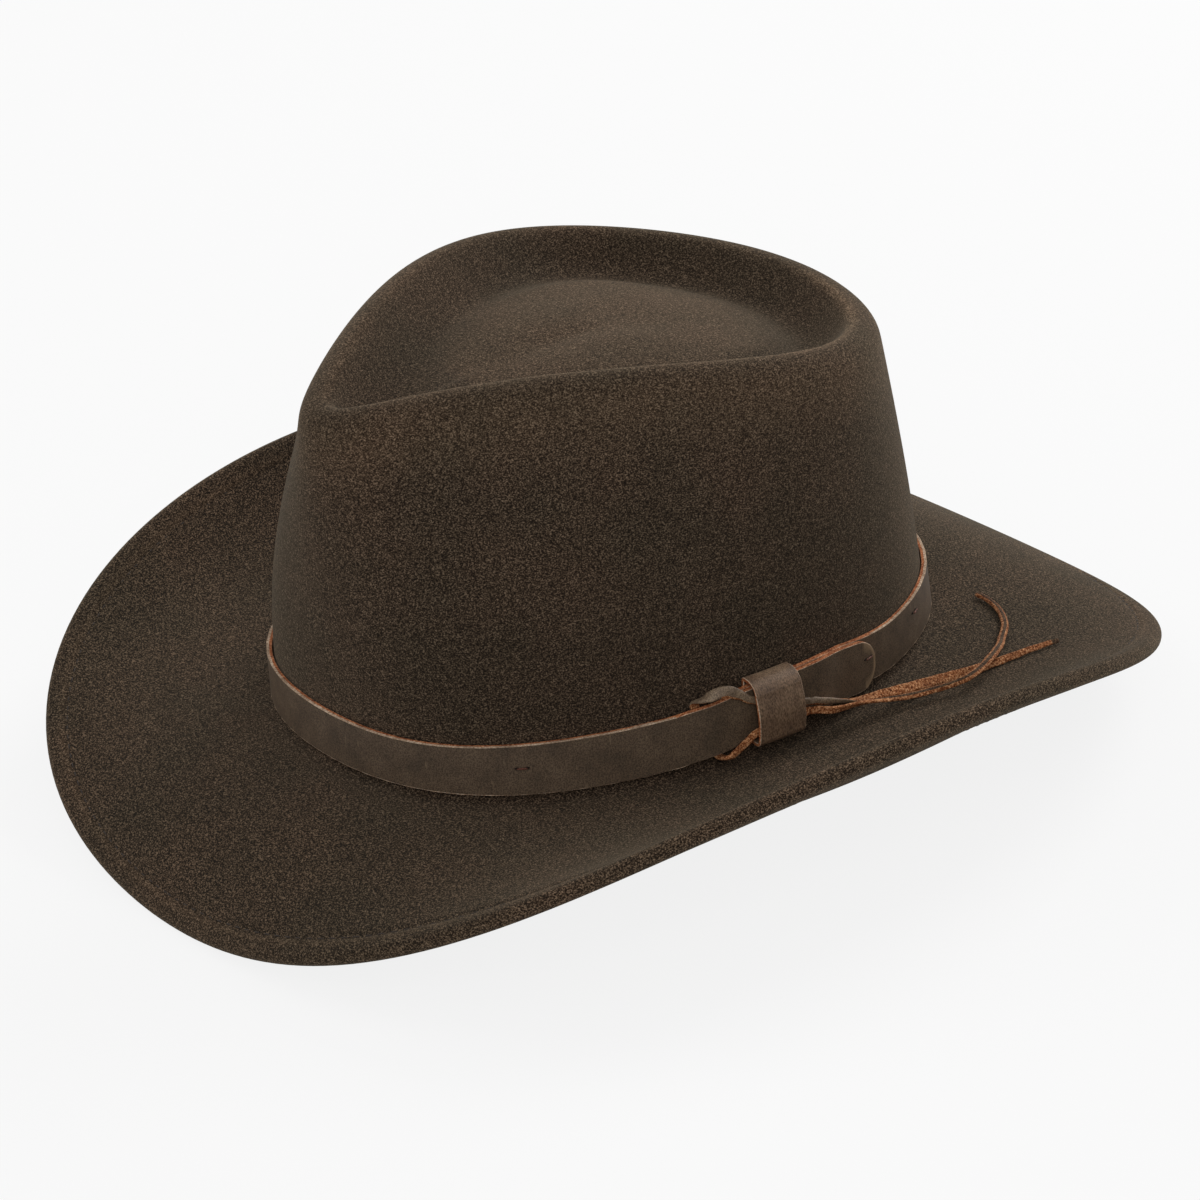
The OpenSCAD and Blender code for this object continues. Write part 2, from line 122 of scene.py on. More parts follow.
def ridge(t):
    return Vector((
        RIDGE_B * (RIDGE_OVAL * sin(t) - RIDGE_SQUARE * sin(3 * t)) - TEARDROP * sin(2 * t),
        RIDGE_Y - RIDGE_A * cos(t) - RIDGE_NOSE * cos(t) ** 2,
        0,
    ))


def beside(t, out, z):
    """Point at height z, a distance out from the crown wall's outer face."""
    ahead = ridge(t + 1) - ridge(t - 1)
    top = ridge(t) + RIDGE_R * Vector((ahead.y, -ahead.x, 0)).normalized()
    v = max(0, (z - FILLET) / (ridge_z(t) - FILLET))
    bulge = WALL_BULGE + FRONT_BULGE * (corner_share(t) if cos(t) > 0 else 0)
    p = foot(t).lerp(top, v) + (bulge * sin(180 * v) + out) * outward(t)
    return Vector((p.x, p.y, z))


def brim_slope(t, u):
    side = sin(t) ** 2
    front = cos(t) > 0
    quarter = (FRONT_QUARTER if front else BACK_QUARTER) * sin(2 * t) ** 2
    dip = FRONT_DIP if front else BACK_DIP
    return (
        ROOT_SLOPE
        + (SIDE_ROLL - ROOT_SLOPE) * side * u**ROLL_POWER
        - (dip + ROOT_SLOPE) * (1 - side) * u
        + quarter * u
    )


def brim(t, s):
    """Point of the brim's top face, a distance s along it from the crown's foot."""
    ds = s / BRIM_STEPS
    slopes = [brim_slope(t, (j + 0.5) * ds / BRIM_L) for j in range(BRIM_STEPS)]
    run = ds * sum(cos(a) for a in slopes)
    rise = ds * sum(sin(a) for a in slopes)
    p = foot(t) + (FILLET + run) * outward(t)
    return Vector((p.x, p.y, rise))


def brim_up(t, s):
    """Direction straight off the brim's top face."""
    along = brim(t + 0.5, s) - brim(t - 0.5, s)
    across = brim(t, s + 0.5) - brim(t, s - 0.5)
    return across.cross(along).normalized()


def band_mid(t):
    """Height of the band's middle."""
    higher = ease((RISE_REACH - abs(t - RISE_DIR)) / RISE_RAMP)
    rise = BAND_RISE * (1 - cos(t)) / 2 + TAB_RISE * higher
    return FILLET + BAND_LIFT + BAND_H / 2 + rise


def stand_off(t):
    """How far the band's back stands off the crown."""
    bent = ease((ROOM_REACH - abs(t - KEEPER_DIR + ROOM_AHEAD)) / ROOM_RAMP)
    return CLEAR + KEEPER_ROOM * bent


def band_face(t, outer=False):
    """How far out the band's face is, on the strap or on the end that overlaps it."""
    climb = ease((t - BAND_START + CLIMB_AHEAD) / CLIMB_RAMP) if outer else 0
    return stand_off(t) + (BAND_T + LAP_GAP) * climb + BAND_T


def curve(points, steps):
    """Smooth path through chosen points."""
    p = [Vector(q) for q in points]
    made = []
    for k in range(len(p) - 1):
        a, b, c, d = p[max(0, k - 1)], p[k], p[k + 1], p[min(len(p) - 1, k + 2)]
        for j in range(steps):
            u = j / steps
            made.append(0.5 * (
                2 * b + (c - a) * u + (2 * a - 5 * b + 4 * c - d) * u**2
                + (3 * b - a - 3 * c + d) * u**3
            ))
    return made + [p[-1]]


# ---- materials ----
BLENDED = {"data_type": "RGBA"}
MULTIPLIED = {"data_type": "RGBA", "blend_type": "MULTIPLY"}
FACTOR, COLOR_A, COLOR_B, MIXED = 0, 6, 7, 2  # a colour mix's sockets, in and out


def srgb(code):
    """An sRGB hex colour as the linear values that a shader takes."""
    values = [int(code[i : i + 2], 16) / 255 for i in (1, 3, 5)]
    linear = [v / 12.92 if v <= 0.04045 else ((v + 0.055) / 1.055) ** 2.4 for v in values]
    return (*linear, 1)


def add(tree, kind, settings=(), links=(), stops=()):
    """Adds a node with its settings and links; stops are a ramp's places and colours."""
    made = tree.nodes.new(kind)
    for name, value in dict(settings).items():
        if isinstance(name, str) and hasattr(made, name):
            setattr(made, name, value)
        else:
            made.inputs[name].default_value = value
    for name, output in dict(links).items():
        tree.links.new(output, made.inputs[name])
    for k, (place, code) in enumerate(stops):
        elements = made.color_ramp.elements
        element = elements[k] if k < 2 else elements.new(place)
        element.position, element.color = place, srgb(code)
    return made


def new_material(name):
    """An empty material, and the places on a piece that its patterns read."""
    material = bpy.data.materials.new(name)
    material.use_nodes = True
    tree = material.node_tree
    tree.nodes.clear()
    return material, tree, add(tree, "ShaderNodeTexCoord").outputs["Object"]


def per_metre(size_mm):
    """A pattern's scale, from how many millimetres across its blotches are."""
    return 1 / (size_mm * MM)


def wool_felt():
    """Felted wool, brushed: matt, salt-and-pepper fibres matted close, a faint paler fuzz
    that shows at glancing angles, stronger fibre contrast on the brim, painted as fibre shade
    and highlight where a point attribute marks it, and paler fibres, painted highlights with
    some rubbing at the crest, where a second point attribute marks them.
    The fibres are drawn some ten times as coarse as they are, so that they show."""
    material, tree, place = new_material("felted_wool")
    matting = add(tree, "ShaderNodeMapping", {"Scale": (0.75, 0.75, 1)}, {"Vector": place})
    lain = matting.outputs["Vector"]
    fibres = add(tree, "ShaderNodeTexNoise", {
        "Scale": per_metre(0.34), "Detail": 1, "Roughness": 0.6}, {"Vector": lain})
    tufts = add(tree, "ShaderNodeTexNoise", {
        "Scale": per_metre(0.65), "Detail": 2, "Roughness": 0.6}, {"Vector": lain})
    cloud = add(tree, "ShaderNodeTexNoise", {
        "Scale": per_metre(30), "Detail": 4}, {"Vector": place})
    grain = add(tree, "ShaderNodeValToRGB", links={"Fac": fibres.outputs["Fac"]}, stops=[
        (0.34, "#241B16"), (0.5, "#483C31"), (0.66, "#867463")])
    # Stronger contrast for the brim's fibres: painted fibre shade and highlight, in place of
    # relief shading.
    fibre_shaded = add(tree, "ShaderNodeValToRGB", links={"Fac": fibres.outputs["Fac"]}, stops=[
        (0.37, "#17110D"), (0.5, "#41362C"), (0.63, "#8B7764")])
    # Paler fibres: mostly painted highlights, with some rubbing at the crest.
    lit_and_worn = add(tree, "ShaderNodeValToRGB", links={"Fac": fibres.outputs["Fac"]}, stops=[
        (0.34, "#5E4C3D"), (0.5, "#8C745F"), (0.66, "#BAA187")])
    matted = add(tree, "ShaderNodeValToRGB", links={"Fac": tufts.outputs["Fac"]}, stops=[
        (0.36, "#94908C"), (0.64, "#FFFFFF")])
    clouded = add(tree, "ShaderNodeValToRGB", links={"Fac": cloud.outputs["Fac"]}, stops=[
        (0.35, "#DCDCD2"), (0.65, "#FFF4EA")])
    # Marks where the brim's fibres get their painted shade and highlight.
    painted_fibre_shade = add(tree, "ShaderNodeAttribute", {"attribute_name": "painted_fibre_shade"})
    color = add(tree, "ShaderNodeMix", BLENDED, {
        FACTOR: painted_fibre_shade.outputs["Fac"], COLOR_A: grain.outputs["Color"],
        COLOR_B: fibre_shaded.outputs["Color"]})
    # Mixes in the painted highlights, and the crest's rubbing, where the attribute marks them.
    highlight_and_wear = add(tree, "ShaderNodeAttribute", {"attribute_name": "highlight_and_wear"})
    color = add(tree, "ShaderNodeMix", BLENDED, {
        FACTOR: highlight_and_wear.outputs["Fac"], COLOR_A: color.outputs[MIXED],
        COLOR_B: lit_and_worn.outputs["Color"]})
    color = add(tree, "ShaderNodeMix", {**MULTIPLIED, FACTOR: 0.9}, {
        COLOR_A: color.outputs[MIXED], COLOR_B: matted.outputs["Color"]})
    color = add(tree, "ShaderNodeMix", {**MULTIPLIED, FACTOR: 0.7}, {
        COLOR_A: color.outputs[MIXED], COLOR_B: clouded.outputs["Color"]})
    relief = add(tree, "ShaderNodeBump", {"Strength": 0.4, "Distance": 0.2 * MM}, {
        "Height": tufts.outputs["Fac"]})
    relief = add(tree, "ShaderNodeBump", {"Strength": 0.8, "Distance": 0.15 * MM}, {
        "Height": fibres.outputs["Fac"], "Normal": relief.outputs["Normal"]})
    shader = add(tree, "ShaderNodeBsdfPrincipled", {
        "Roughness": 0.95, "Specular IOR Level": 0.12, "Sheen Weight": 0.2,
        "Sheen Roughness": 0.5, "Sheen Tint": srgb("#B5A88F")}, {
        "Base Color": color.outputs[MIXED], "Normal": relief.outputs["Normal"]})
    add(tree, "ShaderNodeOutputMaterial", links={"Surface": shader.outputs[0]})
    return material


def oiled_leather(name, dark, middle, light, drawn_out=1):
    """Oiled full-grain leather: satin, finely pebbled, faintly cloudy where it was rubbed,
    with a few pale hairline scratches, and paler where the rim attribute marks a tab's
    outline, which is partly rubbed and partly a painted edge highlight. Its pores are drawn
    out upwards where the hide was stretched."""
    material, tree, place = new_material(name)
    pull = add(tree, "ShaderNodeMapping", {"Scale": (1, 1, 1 / drawn_out)}, {"Vector": place})
    pebbles = add(tree, "ShaderNodeTexNoise", {
        "Scale": per_metre(0.4), "Detail": 2, "Roughness": 0.6}, {
        "Vector": pull.outputs["Vector"]})
    rubbed = add(tree, "ShaderNodeTexNoise", {
        "Scale": per_metre(7), "Detail": 6, "Roughness": 0.65}, {"Vector": place})
    color = add(tree, "ShaderNodeValToRGB", links={"Fac": rubbed.outputs["Fac"]}, stops=[
        (0.25, dark), (0.5, middle), (0.8, light)])
    speckle = add(tree, "ShaderNodeValToRGB", links={"Fac": pebbles.outputs["Fac"]}, stops=[
        (0.36, "#6E665C"), (0.6, "#FFFFFF")])
    color = add(tree, "ShaderNodeMix", {**MULTIPLIED, FACTOR: 0.8}, {
        COLOR_A: color.outputs["Color"], COLOR_B: speckle.outputs["Color"]})
    slant = add(tree, "ShaderNodeMapping", {
        "Rotation": (0.9, 0.6, 1.4), "Scale": (1, 1, 0.15)}, {"Vector": place})
    nicks = add(tree, "ShaderNodeTexNoise", {"Scale": per_metre(1.1)}, {
        "Vector": slant.outputs["Vector"]})
    scratched = add(tree, "ShaderNodeMapRange", {
        "From Min": 0.69, "From Max": 0.76, "To Max": 0.3}, {"Value": nicks.outputs["Fac"]})
    color = add(tree, "ShaderNodeMix", {**BLENDED, COLOR_B: srgb("#9A8468")}, {
        FACTOR: scratched.outputs["Result"], COLOR_A: color.outputs[MIXED]})
    # The tab's outline is painted paler: partly rubbed, partly a painted edge highlight.
    rim = add(tree, "ShaderNodeAttribute", {"attribute_name": "rim"})
    color = add(tree, "ShaderNodeMix", {**BLENDED, COLOR_B: srgb("#B89A78")}, {
        FACTOR: rim.outputs["Fac"], COLOR_A: color.outputs[MIXED]})
    relief = add(tree, "ShaderNodeBump", {"Strength": 0.5, "Distance": 0.1 * MM}, {
        "Height": pebbles.outputs["Fac"]})
    shader = add(tree, "ShaderNodeBsdfPrincipled", {
        "Roughness": 0.55, "Specular IOR Level": 0.4}, {
        "Base Color": color.outputs[MIXED], "Normal": relief.outputs["Normal"]})
    add(tree, "ShaderNodeOutputMaterial", links={"Surface": shader.outputs[0]})
    return material


def raw_leather(name, dark, middle, light):
    """Tanned leather without a smooth face, where it is cut, split or rubbed through: dry
    and fibrous, orange tan where it is clean and darker where hands soiled it."""
    material, tree, place = new_material(name)
    fibres = add(tree, "ShaderNodeTexNoise", {
        "Scale": per_metre(0.6), "Detail": 4, "Roughness": 0.7}, {"Vector": place})
    stains = add(tree, "ShaderNodeTexNoise", {
        "Scale": per_metre(5), "Detail": 3}, {"Vector": place})
    color = add(tree, "ShaderNodeValToRGB", links={"Fac": fibres.outputs["Fac"]}, stops=[
        (0.37, dark), (0.5, middle), (0.63, light)])
    dirt = add(tree, "ShaderNodeValToRGB", links={"Fac": stains.outputs["Fac"]}, stops=[
        (0.35, "#9A8A80"), (0.6, "#FFFFFF")])
    color = add(tree, "ShaderNodeMix", {**MULTIPLIED, FACTOR: 0.6}, {
        COLOR_A: color.outputs["Color"], COLOR_B: dirt.outputs["Color"]})
    relief = add(tree, "ShaderNodeBump", {"Strength": 0.9, "Distance": 0.3 * MM}, {
        "Height": fibres.outputs["Fac"]})
    shader = add(tree, "ShaderNodeBsdfPrincipled", {
        "Roughness": 0.85, "Specular IOR Level": 0.2}, {
        "Base Color": color.outputs[MIXED], "Normal": relief.outputs["Normal"]})
    add(tree, "ShaderNodeOutputMaterial", links={"Surface": shader.outputs[0]})
    return material


def sewing_thread(name, dark, light):
    """Waxed twisted thread: fine slanting plies with a slight shine."""
    material, tree, place = new_material(name)
    plies = add(tree, "ShaderNodeTexWave", {
        "Scale": per_metre(0.9), "Distortion": 1.5, "bands_direction": "DIAGONAL"}, {
        "Vector": place})
    color = add(tree, "ShaderNodeValToRGB", links={"Fac": plies.outputs["Fac"]}, stops=[
        (0.2, dark), (0.8, light)])
    relief = add(tree, "ShaderNodeBump", {"Strength": 0.6, "Distance": 0.1 * MM}, {
        "Height": plies.outputs["Fac"]})
    shader = add(tree, "ShaderNodeBsdfPrincipled", {
        "Roughness": 0.6, "Specular IOR Level": 0.3}, {
        "Base Color": color.outputs["Color"], "Normal": relief.outputs["Normal"]})
    add(tree, "ShaderNodeOutputMaterial", links={"Surface": shader.outputs[0]})
    return material


def spring_steel():
    """Drawn steel wire: grey, fine lengthwise streaks, half polished."""
    material, tree, place = new_material("drawn_steel_wire")
    streaks = add(tree, "ShaderNodeTexNoise", {"Scale": per_metre(0.5)}, {"Vector": place})
    color = add(tree, "ShaderNodeValToRGB", links={"Fac": streaks.outputs["Fac"]}, stops=[
        (0.3, "#8F9193"), (0.7, "#C2C4C5")])
    shader = add(tree, "ShaderNodeBsdfPrincipled", {"Metallic": 1, "Roughness": 0.35}, {
        "Base Color": color.outputs["Color"]})
    add(tree, "ShaderNodeOutputMaterial", links={"Surface": shader.outputs[0]})
    return material


def grosgrain():
    """Ribbed rayon ribbon: close cross ribs with a dull shine."""
    material, tree, place = new_material("grosgrain_ribbon")
    ribs = add(tree, "ShaderNodeTexWave", {
        "Scale": per_metre(0.8), "bands_direction": "X"}, {"Vector": place})
    color = add(tree, "ShaderNodeValToRGB", links={"Fac": ribs.outputs["Fac"]}, stops=[
        (0.2, "#1E1814"), (0.8, "#3D332B")])
    relief = add(tree, "ShaderNodeBump", {"Strength": 0.8, "Distance": 0.15 * MM}, {
        "Height": ribs.outputs["Fac"]})
    shader = add(tree, "ShaderNodeBsdfPrincipled", {"Roughness": 0.5, "Sheen Weight": 0.2}, {
        "Base Color": color.outputs["Color"], "Normal": relief.outputs["Normal"]})
    add(tree, "ShaderNodeOutputMaterial", links={"Surface": shader.outputs[0]})
    return material


def white_stage():
    """Matt white studio floor that looks white and still takes a soft shadow."""
    material, tree, _ = new_material("studio_white")
    matt = add(tree, "ShaderNodeBsdfDiffuse", {"Color": (0.9, 0.9, 0.9, 1)})
    bright = add(tree, "ShaderNodeEmission", {"Color": (1, 1, 1, 1), "Strength": 1})
    seen = add(tree, "ShaderNodeLightPath")
    share = add(tree, "ShaderNodeMath", {"operation": "MULTIPLY", 1: 0.85}, {
        0: seen.outputs["Is Camera Ray"]})
    mixed = add(tree, "ShaderNodeMixShader", links={
        "Fac": share.outputs[0], 1: matt.outputs[0], 2: bright.outputs[0]})
    add(tree, "ShaderNodeOutputMaterial", links={"Surface": mixed.outputs[0]})
    return material


# ---- shaping helpers ----
def pick(piece):
    """Selects one piece and nothing else."""
    bpy.ops.object.select_all(action="DESELECT")
    piece.select_set(True)
    bpy.context.view_layer.objects.active = piece


def copy_of(node, name):
    """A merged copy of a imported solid, ready to be shaped."""
    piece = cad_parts[node].copy()
    piece.data = piece.data.copy()
    piece.data.name = piece.name = name
    piece.data.materials.clear()
    bpy.context.collection.objects.link(piece)
    pick(piece)
    bpy.ops.object.mode_set(mode="EDIT")
    bpy.ops.mesh.select_all(action="SELECT")
    bpy.ops.mesh.customdata_custom_splitnormals_clear()
    bpy.ops.mesh.remove_doubles(threshold=0.005 * MM)
    bpy.ops.mesh.tris_convert_to_quads(face_threshold=3, shape_threshold=3)
    bpy.ops.object.mode_set(mode="OBJECT")
    return piece


def ease_edges(piece, edge_mm, segments=2):
    """Takes the sharpness off a piece's edges."""
    pick(piece)
    bevel = piece.modifiers.new("edges", "BEVEL")
    bevel.width = edge_mm * MM
    bevel.segments = segments
    bevel.limit_method = "ANGLE"
    bevel.angle_limit = math.radians(40)
    bpy.ops.object.modifier_apply(modifier="edges")


def smooth_out(piece, levels):
    """Subdivides a piece and shades it smooth."""
    pick(piece)
    smooth = piece.modifiers.new("smooth", "SUBSURF")
    smooth.levels = smooth.render_levels = levels
    bpy.ops.object.modifier_apply(modifier="smooth")
    bpy.ops.object.shade_smooth()


def repeated(name, one, places):
    """A smooth piece made of copies of one shape, which is used up. Its X lies along
    each place's line there, and its Z points off it."""
    whole = bmesh.new()
    for point, along, up in places:
        side = up.cross(along).normalized()
        place = point * MM
        copy = one.data.copy()
        copy.transform(Matrix((
            (along.x, side.x, up.x, place.x), (along.y, side.y, up.y, place.y),
            (along.z, side.z, up.z, place.z), (0, 0, 0, 1))))
        whole.from_mesh(copy)
        bpy.data.meshes.remove(copy)
    bpy.data.objects.remove(one)
    mesh = bpy.data.meshes.new(name)
    whole.to_mesh(mesh)
    whole.free()
    piece = bpy.data.objects.new(name, mesh)
    bpy.context.collection.objects.link(piece)
    pick(piece)
    bpy.ops.object.shade_smooth()
    return piece


def finish_piece(piece, body, materials, nodes=()):
    """Gives a piece its materials and body, and hides the solids that it stands for."""
    for material in materials:
        piece.data.materials.append(material)
    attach(piece, body)
    if nodes:
        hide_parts(*nodes)


def direction_of(p):
    """Direction around the hat, from the front, of a point in metres."""
    return math.degrees(math.atan2(p.x / FOOT_B, -p.y / FOOT_A)) % 360


# ---- camera ----
def place_camera():
    """The camera at the hat's left front and above it."""
    az, el, roll, distance = 53.1, 27.12, -3.43, 1.2611
    back = Vector((sin(az) * cos(el), -cos(az) * cos(el), sin(el)))
    right = Vector((cos(az), sin(az), 0))
    up = back.cross(right)
    right = right * cos(roll) + up * sin(roll)
    up = back.cross(right)
    camera = bpy.data.objects.new("camera", bpy.data.cameras.new("camera"))
    bpy.context.collection.objects.link(camera)
    camera.matrix_world = Matrix.Translation(back * distance) @ Matrix((
        (right.x, up.x, back.x), (right.y, up.y, back.y), (right.z, up.z, back.z))).to_4x4()
    camera.data.sensor_width = 36
    camera.data.lens = 126.3
    camera.data.shift_x = -0.0042
    camera.data.shift_y = 0.0392
    camera.data.clip_start = 0.05
    bpy.context.scene.camera = camera


place_camera()


# ---- laces ----
WRAP_STEPS, TAIL_STEPS = 6, 8  # steps from one chosen point of a lace's path to the next
GRAIN_SIDE, NEAR_EDGE, FAR_EDGE = (6, 7), (4, 5), (8, 9)  # faces around a lace's outline
WRAP_GRAIN, TAIL_GRAIN = 0.75, 0.35  # how much of the lace's width is still smooth
TURN_SPREAD = 1.1  # how much wider the lace is pressed where it turns over the band
TAIL_TURNED = 0.3  # share of a tail's length over which it turns face up


def lace_mid(t):
    return band_face(t, outer=True) + LACE_GAP + LACE_T / 2


def lace_strip(
        name, path, ups, widths, grain_share, grain_faces=GRAIN_SIDE, fleshy=(), tip=(),
        lapped=(), shaded=False):
    """Flat split lace along a path, in millimetres; ups point off its grain side, whose
    share of the width is grain_share. It shows only raw flesh at the fleshy steps, only
    dark grain at the tip, and at the lapped ones the grain goes over one edge. Past those,
    a shaded lace's grain is painted darker, as shade."""
    half_t, g = LACE_T / 2, grain_share
    outline = [(-1, -0.5), (-0.8, -1), (0, -0.9), (0.8, -1), (1, -0.5),
               (1, 0.3), (g, 1), (0, 1.05), (-g, 1), (-1, 0.3)]
    points, faces, count = [], [], len(outline)
    last = len(path) - 1
    for k, (p, up, width) in enumerate(zip(path, ups, widths)):
        ahead = (path[min(k + 1, last)] - path[max(k - 1, 0)]).normalized()
        side = ahead.cross(up).normalized()
        up = side.cross(ahead)
        for j, (x, y) in enumerate(outline):
            fray = 1 + 0.07 * math.sin(7.3 * k + 2.1 * j) + 0.06 * math.sin(3.1 * k - 5.7 * j)
            q = p + side * (x * width / 2 * fray) + up * (y * half_t * fray)
            points.append(q * MM)
    for k in range(last):
        for j in range(count):
            a, b = k * count + j, k * count + (j + 1) % count
            faces.append((a, b, b + count, a + count))
    faces.append(tuple(range(count))[::-1])
    faces.append(tuple(range(last * count, len(path) * count)))
    mesh = bpy.data.meshes.new(name)
    mesh.from_pydata(points, [], faces)
    piece = bpy.data.objects.new(name, mesh)
    bpy.context.collection.objects.link(piece)
    for face in mesh.polygons:
        k, j = divmod(face.index, count)
        skin = j in grain_faces or (k in lapped and j in FAR_EDGE)
        grain = skin and k < last and k not in fleshy
        # Material 2 is the grain painted darker, as shade, and the tip's dark grain.
        dark = k in tip or (grain and shaded and k not in lapped)
        face.material_index = 2 if dark else 0 if grain else 1
    pick(piece)
    bpy.ops.object.mode_set(mode="EDIT")
    bpy.ops.mesh.select_all(action="SELECT")
    bpy.ops.mesh.normals_make_consistent(inside=False)
    bpy.ops.object.mode_set(mode="OBJECT")
    smooth_out(piece, 1)
    return piece


MOUTH_X = 6.5  # degrees from the keeper's middle to its mouth
MOUTH = KEEPER_DIR + MOUTH_X
KEEPER_Z = band_mid(KEEPER_DIR) - 0.8  # the keeper hangs a little lower than the band
UPPER_Z, LOWER_Z = KEEPER_Z - 2.3, KEEPER_Z - 5  # the two strands at the mouth


def above(x, h):
    """Height h over the band's top edge, x degrees from the keeper's middle."""
    return band_mid(KEEPER_DIR + x) + BAND_H / 2 + h


def below(x, h):
    """Height h under the band's lower edge, x degrees from the keeper's middle."""
    return band_mid(KEEPER_DIR + x) - BAND_H / 2 - h


def lace_wrap():
    """The lace's turns around the band, in front of the keeper and through it."""
    behind = (KEEPER_ROOM + CLEAR) / 2  # in the middle of the gap between crown and band
    turn = [
        (MOUTH_X, 0, UPPER_Z, 0), (0, 0, KEEPER_Z + 1.7, 0),
        (-4.6, 0, above(-4.6, -2.8), 0), (-6.6, 0.1, above(-6.6, 0.3), 5),
        (-8.6, 0.3, above(-8.6, 2.8), 20), (-10.6, 0, above(-10.6, 3.4), 45),
        (-12.3, -1, above(-12.3, 2.6), 80), (-13.1, 1.7, above(-13.1, 1.2), 115),
        (-13.2, behind, above(-13.2, -0.8), 165), (-13, behind, above(-13, -3), 180),
        (-11.8, behind, band_mid(KEEPER_DIR - 11.8), 180),
        (-10.9, behind, below(-10.9, -1), 180), (-10.6, 1.4, below(-10.6, 1.2), 215),
        (-10.2, 3, below(-10.2, 2.2), 270), (-9.4, -0.5, below(-9.4, 1.9), 320),
        (-8.2, 0, below(-8.2, 1), 348), (-6, 0, below(-6, -0.6), 360),
        (-4.1, 0, below(-4.1, -1.8), 360), (0, 0, KEEPER_Z - 4.4, 360),
        (MOUTH_X, 0, LOWER_Z, 360),
    ]
    # Direction, distance out, height and tilt are smoothed together, then placed.
    rows = []
    for x, out, z, tilt in turn:
        t = KEEPER_DIR + x
        rows.append((t, out + (lace_mid(t) if tilt < 90 or tilt > 270 else 0), z, tilt))
    first = curve([row[:3] for row in rows], WRAP_STEPS)
    tilts = curve([(row[3], 0, 0) for row in rows], WRAP_STEPS)
    path = [beside(*row) for row in first]
    ups = []
    for row, tilt in zip(first, tilts):
        up = outward(row[0]) * cos(tilt.x)
        up.z = sin(tilt.x)
        ups.append(up)
    # It goes over the band's top edge from about step 14 to step 54.
    widths = [
        LACE_W + TURN_SPREAD * ease((k - 14) / 8) * ease((54 - k) / 12)
        for k in range(len(path))]
    lower_turn = range(12 * WRAP_STEPS, len(path))  # from here the lace is turned over
    return lace_strip(
        "lace_wrap", path, ups, widths, WRAP_GRAIN, NEAR_EDGE + GRAIN_SIDE, lower_turn,
        lapped=range(28, 60))


def tail_start(z):
    return beside(MOUTH + 0.4, lace_mid(MOUTH) + 0.5, z)


UPPER_TAIL = [
    tail_start(UPPER_Z),
    (87.7, 14.3, 9.8), (87.2, 24.3, 6.3), (87.8, 33.4, 5.2), (88.9, 42.2, 4.4), (89, 51.8, 3.1),
    (89.6, 58.5, 2.5), (91, 63.5, 2.6), (92.3, 69.7, 2.8), (93.2, 77.6, 2.9), (94, 86.9, 2.9),
    (94.9, 96.2, 2.6)]
LOWER_TAIL = [
    tail_start(LOWER_Z),
    (90, 12.8, 8.6), (89.9, 22, 7.1), (90.8, 30.7, 5.4), (92.3, 39, 4.2), (94.6, 46.6, 4.3),
    (97, 51.8, 5.2), (98.9, 56.2, 6.5), (97, 63.6, 6.6), (92.6, 72.3, 6.1), (87, 79.9, 4.1),
    (81.9, 85.4, 2.4), (74.8, 93.4, 1.6), (66.4, 99, 1.3), (59.2, 101.3, 1.3),
    (53.8, 101.5, 1.4)]


def lace_tail(name, node, route, start_tilt, end_tilt, widths, tip_steps, lapped_steps):
    """A free end of the lace; its grain side turns from facing out to facing up. Its
    first point is pushed back into the end of the wrap, its first steps are lapped as
    the wrap is, and the last ones can be dark. Past the lapped steps its grain is painted
    darker, as shade."""
    start = beside(MOUTH - 0.6, lace_mid(MOUTH - 0.6), route[0].z)
    path = [start, *curve(route, TAIL_STEPS)]
    last = len(path) - 1
    ups, across = [], []
    for k in range(len(path)):
        tilt = start_tilt + (end_tilt - start_tilt) * ease(k / last / TAIL_TURNED)
        up = Vector((1, 0.1, 0)) * cos(tilt)
        up.z = sin(tilt)
        ups.append(up)
        share = k / last * (len(widths) - 1)
        a = min(int(share), len(widths) - 2)
        across.append(widths[a] + (widths[a + 1] - widths[a]) * (share - a))
    piece = lace_strip(
        name, path, ups, across, TAIL_GRAIN, tip=range(last - tip_steps, last),
        lapped=range(lapped_steps), shaded=True)
    finish_piece(piece, "hat", (lace_grain, lace_flesh, lace_shaded_grain), (node,))
    length = sum((b - a).length for a, b in zip(path, path[1:])) * MM


lace_grain = oiled_leather("lace_grain_leather", "#625040", "#8E7861", "#B8A286")
# The tails' grain: the lace's grain colours painted darker, as the shade that the tails lie in.
lace_shaded_grain = raw_leather("lace_shaded_grain_leather", "#2E2018", "#54402F", "#8A6E52")
lace_flesh = raw_leather("lace_flesh_leather", "#4A2412", "#AE6A3E", "#F4BE8C")

UPPER_WIDTHS = [2.4, 2.6, 3.2, 3, 2.4, 1.4]
LOWER_WIDTHS = [2.4, 2.6, 2.6, 2.4, 2.2]
lace_tail("lace_end_upper", "lace_tail_upper", UPPER_TAIL, 0, -135, UPPER_WIDTHS, 3, 20)
lace_tail("lace_end_lower", "lace_tail_lower", LOWER_TAIL, 180, 75, LOWER_WIDTHS, 0, 0)
finish_piece(lace_wrap(), "hat", (lace_grain, lace_flesh), ("lace_loop",))

# ---- felt ----
SEAM_S = FOLD_S - WELT_W + 0.9  # the stitched line along the brim
UNDER = 2 * FELT_T + 0.45  # from the brim's top down to the turned-under strip's face
GROOVE_W, GROOVE_D = 1.8, 0.6
STITCH_STEP, STITCH_L, STITCH_SINK, THREAD_D = 4, 3, 0.5, 0.45
UPPER_CROWN = 60  # higher up the crown's painted highlights count, lower down the brim's
